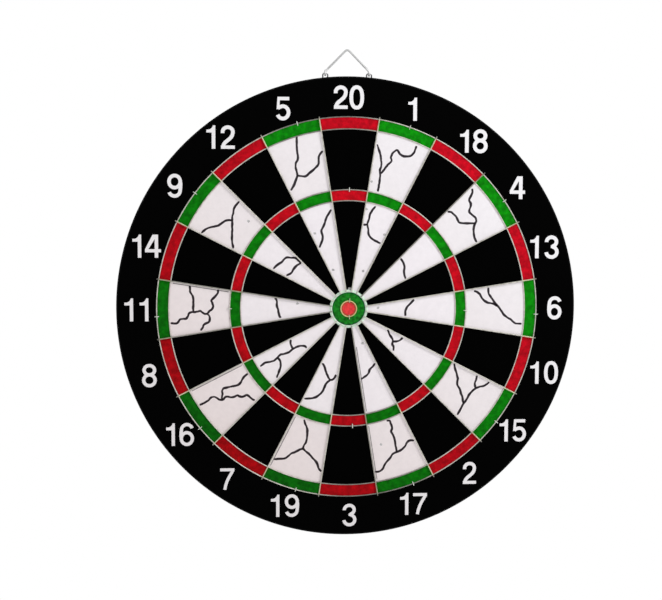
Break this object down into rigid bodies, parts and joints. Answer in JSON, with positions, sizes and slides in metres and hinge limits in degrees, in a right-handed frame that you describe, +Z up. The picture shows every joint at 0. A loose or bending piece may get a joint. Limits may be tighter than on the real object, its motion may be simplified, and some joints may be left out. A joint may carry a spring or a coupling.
{
  "type": "magnetic dartboard",
  "caption": "Round wall-hung magnetic dartboard with a coloured scoring face, a raised wire spider, printed numbers and a swinging wire hanger.",
  "frame": {"origin": "centre of the flat back of the board", "axes": "+Z up the board towards the hanger, +Y out of the back into the wall, -Y out of the playing face, +X to the player's right"},
  "size_m": [0.411, 0.0186, 0.4355],
  "materials": {
    "face_black": "satin",
    "face_white": "matte",
    "face_red": "satin",
    "face_green": "satin",
    "numeral_white": "matte",
    "edge_band": "satin",
    "back_sheet": "matte",
    "fibreboard": "matte",
    "steel_sheet": "satin",
    "spider_wire": "gloss",
    "staple_wire": "satin",
    "eye_wire": "satin",
    "hanger_wire": "satin"
  },
  "bodies": {
    "board": {"core_board": "fibreboard", "steel_sheet": "steel_sheet", "back_sheet": "back_sheet", "edge_band": "edge_band", "face_sheet": "face_black", "hanger_eye_left": "eye_wire", "hanger_eye_right": "eye_wire", "wire_double_outer": "spider_wire", "wire_double_inner": "spider_wire", "wire_treble_outer": "spider_wire", "wire_treble_inner": "spider_wire", "wire_bull_outer": "spider_wire", "wire_bull_inner": "spider_wire", "spoke_01": "spider_wire", "spoke_02": "spider_wire", "spoke_03": "spider_wire", "spoke_04": "spider_wire", "spoke_05": "spider_wire", "spoke_06": "spider_wire", "spoke_07": "spider_wire", "spoke_08": "spider_wire", "spoke_09": "spider_wire", "spoke_10": "spider_wire", "spoke_11": "spider_wire", "spoke_12": "spider_wire", "spoke_13": "spider_wire", "spoke_14": "spider_wire", "spoke_15": "spider_wire", "spoke_16": "spider_wire", "spoke_17": "spider_wire", "spoke_18": "spider_wire", "spoke_19": "spider_wire", "spoke_20": "spider_wire", "staple_double_01": "staple_wire", "staple_double_02": "staple_wire", "staple_double_03": "staple_wire", "staple_double_04": "staple_wire", "staple_double_05": "staple_wire", "staple_double_06": "staple_wire", "staple_double_07": "staple_wire", "staple_double_08": "staple_wire", "staple_double_09": "staple_wire", "staple_double_10": "staple_wire", "staple_treble_01": "staple_wire", "staple_treble_02": "staple_wire", "staple_treble_03": "staple_wire", "staple_treble_04": "staple_wire", "staple_bull_01": "staple_wire", "staple_bull_02": "staple_wire"},
    "hanger": {"hanger_wire": "hanger_wire"}
  },
  "joints": [
    {"name": "hanger_swing", "type": "hinge", "parent": "board", "child": "hanger", "pos_m": [-0.0014, -0.00745, 0.2092], "axis": [1, 0, 0], "range_deg": [-95, 95]}
  ]
}
